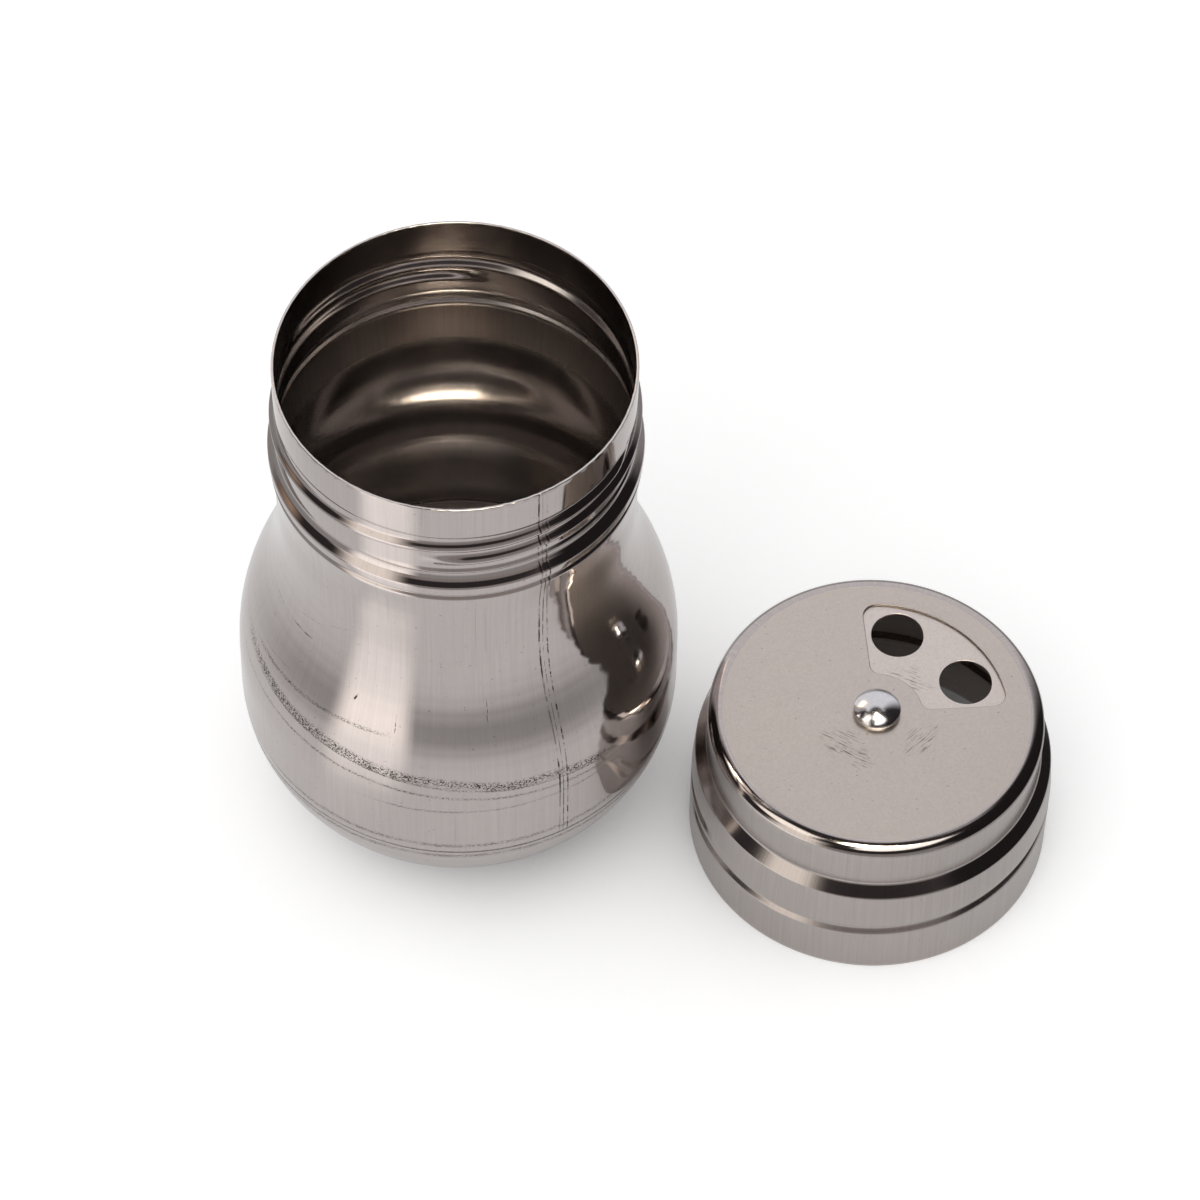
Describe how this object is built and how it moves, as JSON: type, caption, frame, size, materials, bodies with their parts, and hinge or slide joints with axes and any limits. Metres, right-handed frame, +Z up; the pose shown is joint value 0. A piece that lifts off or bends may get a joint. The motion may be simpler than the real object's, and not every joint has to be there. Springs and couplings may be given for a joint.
{
  "type": "spice shaker dispenser",
  "caption": "Pear-shaped stainless steel pot with a rolled screw neck, and its screw cap with a pouring window and a rotating shutter, standing beside it.",
  "frame": {"origin": "on the table under the pot, at the middle of its flat base, on the pot's axis", "axes": "+Z up along the pot's axis, +X towards the cap that stands beside the pot, +Y away from the front of the pot"},
  "size_m": [0.131, 0.0745, 0.104],
  "materials": {
    "body_steel": "satin sheet with fine upright grain, polished on the neck and beads",
    "base_steel": "satin sheet with turned rings",
    "cap_steel": "matt plate and bands, polished shoulder and ledge",
    "shutter_steel": "matt sheet with sheared hole edges",
    "rivet_steel": "polished dome",
    "spring_steel": "plain spring strip"
  },
  "bodies": {
    "pot": {"pot_body": "body_steel", "pot_base": "base_steel"},
    "cap": {"cap_shell": "cap_steel", "rivet": "rivet_steel", "spring_washer": "spring_steel"},
    "shutter": {"shutter_disc": "shutter_steel"}
  },
  "joints": [
    {"name": "cap_lift", "type": "slide", "parent": "pot", "child": "cap", "axis": [0, 0, 1], "range_m": [0, 0.12]},
    {"name": "shutter_turn", "type": "hinge", "parent": "cap", "child": "shutter", "pos_m": [0.0669, -0.01036, 0.0292], "axis": [0, 0, 1], "continuous": true}
  ]
}
